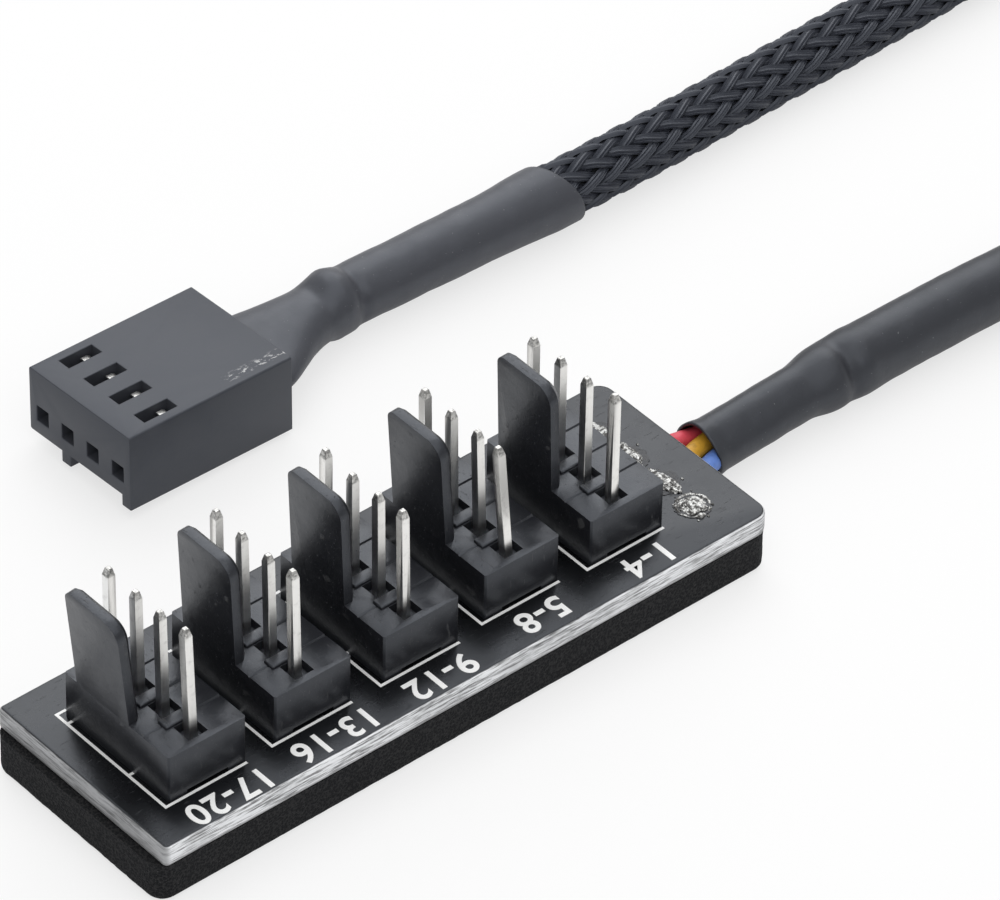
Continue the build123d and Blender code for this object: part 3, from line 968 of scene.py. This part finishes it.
# Hand-made joints at the wire holes: half width, half length and height of each mound in millimetres,
# and its turn in degrees
mound_shapes = {
    "blue": (0.80, 0.80, 0.26, 0.0),
    "yellow": (0.60, 1.45, 0.34, 8.0),
    "black": (0.58, 1.30, 0.34, -10.0),
    "red": (0.60, 1.10, 0.28, 0.0),
}

# The broken ring round the blue wire's joint
ring_radius = 1.1 * MM
ring_thickness = 0.17 * MM

# Crumbs of solder beside each joint, and the thickness of the spilt flux under them
crumb_counts = {"blue": 9, "yellow": 4, "black": 3, "red": 2}
flux_thickness = 0.03 * MM


def rough_mound(shape, centre, spread, seed):
    """Adds a lumpy low mound. The seed gives each one other lumps."""
    half_width, half_length, height, turn = spread
    made = bmesh.ops.create_icosphere(shape, subdivisions=5, radius=1.0)
    offset = Vector((seed * 3.7, seed * 1.9, seed * 5.3))
    swing = Matrix.Rotation(math.radians(turn), 3, "Z")
    for vertex in made["verts"]:
        unit = vertex.co.copy()
        lump = 0.3 * noise.noise(unit * 1.9 + offset) + 0.2 * noise.noise(unit * 4.5 + offset)
        lump += 0.1 * noise.noise(unit * 10 + offset)
        grown = unit * (1 + lump)
        low = Vector((grown.x * half_width, grown.y * half_length, max(grown.z, -0.1) * height))
        vertex.co = centre + swing @ low * MM


def broken_ring(shape, centre):
    """Adds a ring of solder that thins out to gaps."""
    made = bmesh.ops.create_circle(shape, radius=ring_thickness, segments=10, cap_ends=False)
    bmesh.ops.rotate(shape, matrix=Matrix.Rotation(math.pi / 2, 3, "X"), verts=made["verts"])
    bmesh.ops.translate(shape, vec=centre + Vector((ring_radius, 0, 0)), verts=made["verts"])
    loop = [e for e in shape.edges if e.is_wire]
    bmesh.ops.spin(
        shape, geom=loop, cent=centre, axis=(0, 0, 1), angle=2 * math.pi, steps=96, use_merge=True
    )
    for vertex in shape.verts:
        out = vertex.co - centre
        heading = out.xy.normalized()
        if out.xy.length < ring_radius - 2 * ring_thickness or heading.length == 0:
            continue
        middle = Vector((heading.x, heading.y, 0)) * ring_radius
        around = Vector((heading.x, heading.y, 0.0)) * 2.3
        fullness = 0.55 + 1.1 * noise.noise(around) + 0.5 * noise.noise(around * 3.1)
        vertex.co = centre + middle + (out - middle) * min(max(fullness, 0.12), 1.35)


def flux_film(centre, seed):
    """A thin film of flux with a wandering outline."""
    film = bmesh.new()
    bmesh.ops.create_circle(film, cap_ends=True, segments=96, radius=1.0)
    grown = bmesh.ops.extrude_face_region(film, geom=film.faces[:])
    raised = [item for item in grown["geom"] if isinstance(item, bmesh.types.BMVert)]
    for vertex in film.verts:
        angle = math.atan2(vertex.co.y, vertex.co.x)
        out = Vector((math.cos(angle), math.sin(angle), 0))
        around = out + Vector((0, 0, seed * 2.0))
        reach = 1.2 + 0.3 * noise.noise(around * 1.3) + 0.16 * noise.noise(around * 4)
        vertex.co = centre + out * reach * MM
    bmesh.ops.translate(film, vec=(0, 0, flux_thickness), verts=raised)
    bmesh.ops.recalc_face_normals(film, faces=film.faces)
    return film


def solder_crumbs(centre, count, seed):
    """Small flat grains of solder, strewn in a ring."""
    crumbs = bmesh.new()
    for n in range(count):
        angle = 2.4 * n + seed
        away = (1.15 + 0.1 * (n % 4)) * MM
        radius = (0.045 + 0.02 * (n % 3)) * MM
        grain = bmesh.ops.create_icosphere(crumbs, subdivisions=1, radius=radius)
        place = centre + Vector((math.cos(angle) * away, math.sin(angle) * away, 0.02 * MM))
        bmesh.ops.scale(crumbs, vec=(1.0, 1.7, 0.6), verts=grain["verts"])
        bmesh.ops.translate(crumbs, vec=place, verts=grain["verts"])
    return crumbs


def build_joints():
    """The mounds, the spilt flux and the crumbs of the four wire joints."""
    solder = solder_finish()
    flux = flux_finish()
    for j, name in enumerate(wire_names):
        low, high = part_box(f"wire_joint_{name}")
        centre = Vector(((low.x + high.x) / 2, (low.y + high.y) / 2, board_top))
        shape = bmesh.new()
        if name == "blue":
            broken_ring(shape, centre)
        rough_mound(shape, centre, mound_shapes[name], j + 1)
        bmesh.ops.recalc_face_normals(shape, faces=shape.faces)
        mound = piece_from(shape, f"solder_mound_{name}", 60)
        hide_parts(f"wire_joint_{name}", f"wire_end_{name}")
        dress(mound, solder)
        dress(piece_from(flux_film(centre, j), f"flux_spill_{name}", 40), flux)
        crumbs = solder_crumbs(centre, crumb_counts[name], j)
        dress(piece_from(crumbs, f"solder_crumbs_{name}", 60), solder)


# Distances along the hub sleeve and its radius there, in millimetres
hub_sleeve_radius = [(0.0, 2.12), (1.2, 1.95), (8.4, 1.95), (10.8, 2.26), (13.5, 2.26), (32.5, 2.22)]
hub_sleeve_reach = 32.5
hub_sleeve_slant = 0.0

# The same for the plug sleeve: half its width, and half its height
plug_sleeve_width = [(-0.8, 4.1), (7.4, 2.2), (10.4, 2.12), (20.0, 2.15), (27.0, 2.36)]
plug_sleeve_height = [
    (-2.0, 1.0),
    (6.6, 1.82),
    (8.1, 2.38),
    (9.2, 2.36),
    (10.5, 2.08),
    (20.0, 2.15),
    (27.0, 2.36),
]
plug_sleeve_reach = 27.0
plug_sleeve_slant = 1.0

# The side, in degrees round the sleeve, where an askew end reaches farthest
slant_side = 205

# How finely a sleeve is divided along and round itself, and its soft dents: their size and depth in
# millimetres, and how far from the sleeve's middle they are taken
sleeve_step = 0.14
sleeve_sides = 56
sleeve_dents = [(3.2, 0.05), (1.1, 0.025)]
dent_radius = 1.8


def build_sleeve(name, node, line, reach, slant, widths, heights, lumps):
    """A sleeve over wires and braid, with its wall, soft dents and an end that may be cut askew."""
    s = bpy.context.scene.hub_sizes

    def place(along, around):
        angle = around * 2 * math.pi
        distance = along * (reach + slant * np.cos(angle - math.radians(slant_side)))
        middle = line.place(distance * MM, 0.0, 0.0)
        out = line.place(distance * MM, np.cos(angle) * MM, np.sin(angle) * MM) - middle
        skin = middle + out * dent_radius
        wobble = sum(dents(skin, grain * MM, depth) for grain, depth in sleeve_dents)
        wobble += lumps(distance, angle)
        across = (blend_stations(distance, widths) + wobble) * np.cos(angle) * MM
        height = (blend_stations(distance, heights) + wobble) * np.sin(angle) * MM
        return line.place(distance * MM, across, height)

    shape = bmesh.new()
    wrapped(shape, int(reach / sleeve_step), sleeve_sides, place)
    bmesh.ops.remove_doubles(shape, verts=shape.verts, dist=0.002 * MM)
    bmesh.ops.recalc_face_normals(shape, faces=shape.faces)
    piece = piece_from(shape, name, 180)
    wall = piece.modifiers.new("wall", "SOLIDIFY")
    wall.thickness = s.sleeve_wall
    wall.offset = -1.0
    wall.use_even_offset = True
    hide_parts(node)
    return piece


def hump(distance, centre, width):
    """1 at the centre, falling off smoothly within about the width."""
    return np.exp(-(((distance - centre) / width) ** 2))


def facing(angle, towards):
    """1 on the side that faces one way, 0 on the other side. Both angles are in radians."""
    return 0.5 + 0.5 * np.cos(angle - towards)


def hub_lumps(distance, angle):
    """The wires show through the neck as soft ridges, and the braid's end as a fold."""
    ridges = 0.07 * np.cos(4 * angle + 0.5) * (1 - smooth_step(distance, 8.0, 12.0))
    fold = -0.36 * hump(distance, 11.8, 0.5) * facing(angle, 2.5) ** 4
    shoulder = 0.12 * hump(distance, 13.3, 0.8) * facing(angle, 2.5)
    return ridges + fold + shoulder


def plug_lumps(distance, angle):
    """A bump above the braid's end and a fold beside it."""
    bump = 0.16 * hump(distance, 8.6, 0.5) * facing(angle, 1.2)
    fold = -0.3 * hump(distance, 9.8, 0.42) * facing(angle, 2.4) ** 2
    return bump + fold


def build_sleeves():
    """The sleeve at the hub and the one at the plug."""
    hub = build_sleeve(
        "hub_sleeve",
        "hub_heat_shrink",
        line_of(hub_sleeve_route),
        hub_sleeve_reach,
        hub_sleeve_slant,
        hub_sleeve_radius,
        hub_sleeve_radius,
        hub_lumps,
    )
    plug = build_sleeve(
        "plug_sleeve",
        "plug_heat_shrink",
        line_of(plug_sleeve_route),
        plug_sleeve_reach,
        plug_sleeve_slant,
        plug_sleeve_width,
        plug_sleeve_height,
        plug_lumps,
    )
    # Painted shade: the hub sleeve takes half the colour of the plug sleeve, though both are the same
    # shrink
    dress(hub, sleeve_finish("hub_shrink", 0.5))
    dress(plug, sleeve_finish("plug_shrink", 1.0))
    return [hub, plug]


# Cross-section of a strand: share of its half width, and height above its middle in millimetres
strand_section = [
    (-1.0, -0.10),
    (-0.75, 0.04),
    (-0.5, -0.02),
    (-0.25, 0.08),
    (0.0, 0.01),
    (0.25, 0.08),
    (0.5, -0.02),
    (0.75, 0.04),
    (1.0, -0.10),
]

# How many steps a strand has from one crossing to the next, how abruptly it goes from over to under,
# how far from the cable's ends it stops, and how it wanders: millimetres sideways, millimetres along the
# cable for one radian, and radians from one strand to the next
steps_per_crossing = 3.2
crossing_sharpness = 1.45
strand_margin = 12.0 * MM
strand_wander = [(0.05, 3.1, 2.4), (0.04, 1.3, 1.0)]


def build_strands(line, hand, start, end):
    """All the strands that wind one way round. Each goes over two of the other hand and under two."""
    s = bpy.context.scene.hub_sizes
    count = s.strands_each_way
    lead = s.braid_lead
    slope = math.atan2(2 * math.pi * s.braid_radius, lead)
    steps = int((end - start) / (lead / (2 * count)) * steps_per_crossing)
    shares = np.array([share for share, _ in strand_section])
    heights = np.array([height for _, height in strand_section]) * MM
    sides = len(strand_section)
    shape = bmesh.new()
    for n in range(count):

        def place(along, around, n=n):
            distance = start + along * (end - start)
            index = np.rint(around * sides).astype(int) % sides
            offset = shares[index] * s.strand_width / 2
            middle_angle = hand * 2 * math.pi * distance / lead + 2 * math.pi * n / count
            column = middle_angle * count / math.pi
            rise = crossing_sharpness * np.cos(math.pi * (column - 0.5) / 2)
            wave = np.clip(rise, -1, 1) * hand
            waves = [far * np.sin(distance / (run * MM) + turn * n) for far, run, turn in strand_wander]
            wander = sum(waves)
            angle = middle_angle + (offset * math.cos(slope) + wander * MM) / s.braid_radius
            shifted = distance - hand * offset * math.sin(slope)
            radius = s.braid_radius + wave * s.strand_lift + heights[index]
            return line.place(shifted, radius * np.cos(angle), radius * np.sin(angle))

        wrapped(shape, steps, sides, place)
    bmesh.ops.remove_doubles(shape, verts=shape.verts, dist=0.0005 * MM)
    bmesh.ops.holes_fill(shape, edges=shape.edges, sides=sides)
    bmesh.ops.recalc_face_normals(shape, faces=shape.faces)
    return piece_from(shape, "strands_left" if hand > 0 else "strands_right", 75)


def build_cable():
    """The core and the strands of the braided cable."""
    s = bpy.context.scene.hub_sizes
    line = line_of(cable_route)
    core = route_curve("braided_line", cable_route, s.core_radius)
    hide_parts("braided_cable")
    dress(core, core_finish())
    finish = braid_finish()
    for hand in (1, -1):
        strand = build_strands(line, hand, strand_margin, line.length - strand_margin)
        dress(strand, finish)


def build_plug():
    """The plug's housing and the contacts in it."""
    s = bpy.context.scene.hub_sizes
    dress(softened("plug_housing", "plug_body", s.plastic_edge), plug_finish())
    tin = tin_finish("contact_tin")
    for j in range(1, ways + 1):
        paint(f"plug_contact_{j}", tin)
        build_tongue(j, tin)


# The tongue of a contact, seen in its window: distance from the plug's face and height in the plug, in
# millimetres, and its size
tongue_line = [(4.5, 3.9), (4.38, 4.8), (4.2, 5.12), (3.95, 5.24), (3.5, 5.24)]
tongue_width = 0.7 * MM
tongue_thickness = 0.12 * MM


def build_tongue(j, tin):
    """The upper end of a contact's tongue, which glints in its window."""
    shape = bmesh.new()
    way = plug_middle + (j - (ways + 1) / 2) * contact_pitch
    last = None
    for u, w in tongue_line:
        vertex = shape.verts.new((u * MM, way * MM - tongue_width / 2, w * MM))
        if last:
            shape.edges.new((last, vertex))
        last = vertex
    swept = bmesh.ops.extrude_edge_only(shape, edges=shape.edges[:])
    far = [item for item in swept["geom"] if isinstance(item, bmesh.types.BMVert)]
    bmesh.ops.translate(shape, vec=(0, tongue_width, 0), verts=far)
    bmesh.ops.solidify(shape, geom=shape.faces[:], thickness=tongue_thickness)
    bmesh.ops.recalc_face_normals(shape, faces=shape.faces)
    bmesh.ops.transform(shape, matrix=plug_place(), verts=shape.verts)
    dress(piece_from(shape, f"contact_tongue_{j}", 30), tin)


# Camera: its place in millimetres, its direction in degrees, and its lens and sensor in millimetres
camera_place = (-270.05, -318.34, 378.05)
camera_azimuth = -41.24
camera_elevation = 40.79
camera_roll = 1.311
camera_lens = 324.0
camera_sensor = 36.0

# Floor: how far it lies below the hub, half its width, and how much of it glows by itself where the
# camera sees it and where it is mirrored
floor_drop = 0.02 * MM
floor_reach = 3.0
glow_seen = 0.7
glow_mirrored = 0.3

# Light: strength of the white surroundings, each lamp's name, place, width and power, and their aim
sky_strength = 0.42
lamps = [
    ("behind", (0.405, 0.495, 0.63), 0.9, 5.5),
    ("overhead", (-0.14, -0.33, 0.86), 1.2, 5.0),
]
lamp_aim = Vector((0.01, 0.01, 0.0))


def build_camera():
    """The camera at the photograph's place."""
    lens = bpy.data.cameras.new("camera")
    lens.lens = camera_lens
    lens.sensor_width = camera_sensor
    lens.clip_end = 10.0
    camera = placed("camera", lens)
    turn = Matrix.Rotation(math.radians(camera_azimuth), 4, "Z")
    tilt = Matrix.Rotation(math.radians(90 - camera_elevation), 4, "X")
    roll = Matrix.Rotation(math.radians(camera_roll), 4, "Z")
    camera.matrix_world = Matrix.Translation(Vector(camera_place) * MM) @ turn @ tilt @ roll
    bpy.context.scene.camera = camera


def floor_finish():
    """A pale floor that glows a little, so that it looks white where the light falls off."""
    c = bpy.context.scene.hub_colours
    finish = Finish("floor")
    seen = finish.node("ShaderNodeLightPath", output="Is Camera Ray")
    mirrored = finish.node("ShaderNodeLightPath", output="Is Glossy Ray")
    matte_inputs = {"Base Color": opaque(c.floor), "Roughness": 0.9}
    matte = finish.node("ShaderNodeBsdfPrincipled", inputs=matte_inputs, output="BSDF")
    glow_inputs = {"Color": opaque(grey(1.0)), "Strength": 1.0}
    glow = finish.node("ShaderNodeEmission", inputs=glow_inputs, output="Emission")
    share = seen * glow_seen + mirrored * glow_mirrored
    both = finish.node("ShaderNodeMixShader", inputs={0: share, 1: matte, 2: glow})
    finish.node("ShaderNodeOutputMaterial", inputs={"Surface": both})
    return finish.material


def build_floor():
    """The floor that the hub lies on."""
    shape = bmesh.new()
    bmesh.ops.create_grid(shape, x_segments=1, y_segments=1, size=floor_reach)
    bmesh.ops.translate(shape, vec=(0, 0, -floor_drop), verts=shape.verts)
    floor = piece_from(shape, "floor")
    floor.data.materials.append(floor_finish())


def build_light():
    """The white surroundings and the two square lamps."""
    world = bpy.data.worlds.new("studio")
    bpy.context.scene.world = world
    world.use_nodes = True
    background = world.node_tree.nodes["Background"]
    background.inputs["Color"].default_value = opaque(grey(1.0))
    background.inputs["Strength"].default_value = sky_strength
    for name, place, across, power in lamps:
        light = bpy.data.lights.new(name, "AREA")
        light.shape = "SQUARE"
        light.size = across
        light.energy = power
        turn = (lamp_aim - Vector(place)).to_track_quat("-Z", "Y").to_matrix().to_4x4()
        placed(name, light).matrix_world = Matrix.Translation(place) @ turn


# Operators


class FANHUB_OT_stage(bpy.types.Operator):
    """Make the floor, the light and the camera"""

    bl_idname = "fanhub.stage"
    bl_label = "Stage"
    bl_options = {"REGISTER", "UNDO"}

    def execute(self, context):
        context.scene.view_settings.view_transform = "Standard"
        build_camera()
        build_floor()
        build_light()
        return {"FINISHED"}


class FANHUB_OT_board(bpy.types.Operator):
    """Make the circuit board"""

    bl_idname = "fanhub.board"
    bl_label = "Circuit Board"
    bl_options = {"REGISTER", "UNDO"}

    def execute(self, context):
        build_board()
        return {"FINISHED"}


class FANHUB_OT_foam(bpy.types.Operator):
    """Make the foam pad under the board"""

    bl_idname = "fanhub.foam"
    bl_label = "Foam Pad"
    bl_options = {"REGISTER", "UNDO"}

    def execute(self, context):
        build_foam()
        return {"FINISHED"}


class FANHUB_OT_headers(bpy.types.Operator):
    """Make the five headers and their pins"""

    bl_idname = "fanhub.headers"
    bl_label = "Headers"
    bl_options = {"REGISTER", "UNDO"}

    def execute(self, context):
        build_headers()
        return {"FINISHED"}


class FANHUB_OT_print(bpy.types.Operator):
    """Make the printed outlines and numbers"""

    bl_idname = "fanhub.print"
    bl_label = "Print"
    bl_options = {"REGISTER", "UNDO"}

    def execute(self, context):
        build_print()
        return {"FINISHED"}


class FANHUB_OT_joints(bpy.types.Operator):
    """Make the solder joints of the wires"""

    bl_idname = "fanhub.joints"
    bl_label = "Wire Joints"
    bl_options = {"REGISTER", "UNDO"}

    def execute(self, context):
        build_joints()
        return {"FINISHED"}


class FANHUB_OT_plug(bpy.types.Operator):
    """Make the plug and its contacts"""

    bl_idname = "fanhub.plug"
    bl_label = "Plug"
    bl_options = {"REGISTER", "UNDO"}

    def execute(self, context):
        build_plug()
        return {"FINISHED"}


class FANHUB_OT_cable(bpy.types.Operator):
    """Make the wires, the sleeves and the braided cable, once the plug is there"""

    bl_idname = "fanhub.cable"
    bl_label = "Cable"
    bl_options = {"REGISTER", "UNDO"}

    def execute(self, context):
        wires = build_wires()
        sleeves = build_sleeves()
        build_cable()
        return {"FINISHED"}


operators = [
    FANHUB_OT_stage,
    FANHUB_OT_board,
    FANHUB_OT_foam,
    FANHUB_OT_headers,
    FANHUB_OT_print,
    FANHUB_OT_joints,
    FANHUB_OT_plug,
    FANHUB_OT_cable,
]


class FANHUB_PT_panel(bpy.types.Panel):
    """Sizes, colours and pieces of the fan hub"""

    bl_idname = "FANHUB_PT_panel"
    bl_label = "Fan Hub"
    bl_space_type = "VIEW_3D"
    bl_region_type = "UI"
    bl_category = "Fan Hub"

    def draw(self, context):
        for group in (context.scene.hub_sizes, context.scene.hub_colours):
            box = self.layout.box()
            for name in group.__annotations__:
                box.prop(group, name)
        for operator in operators:
            self.layout.operator(operator.bl_idname)


classes = [HubSizes, HubColours, *operators, FANHUB_PT_panel]


def register():
    for item in classes:
        bpy.utils.register_class(item)
    bpy.types.Scene.hub_sizes = bpy.props.PointerProperty(type=HubSizes)
    bpy.types.Scene.hub_colours = bpy.props.PointerProperty(type=HubColours)


def unregister():
    del bpy.types.Scene.hub_colours
    del bpy.types.Scene.hub_sizes
    for item in reversed(classes):
        bpy.utils.unregister_class(item)


def main():
    """Makes the whole scene. The plug comes before the cable."""
    register()
    bpy.ops.fanhub.stage()
    bpy.ops.fanhub.plug()
    bpy.ops.fanhub.cable()
    bpy.ops.fanhub.board()
    bpy.ops.fanhub.foam()
    bpy.ops.fanhub.headers()
    bpy.ops.fanhub.print()
    bpy.ops.fanhub.joints()


if __name__ == "__main__":
    main()
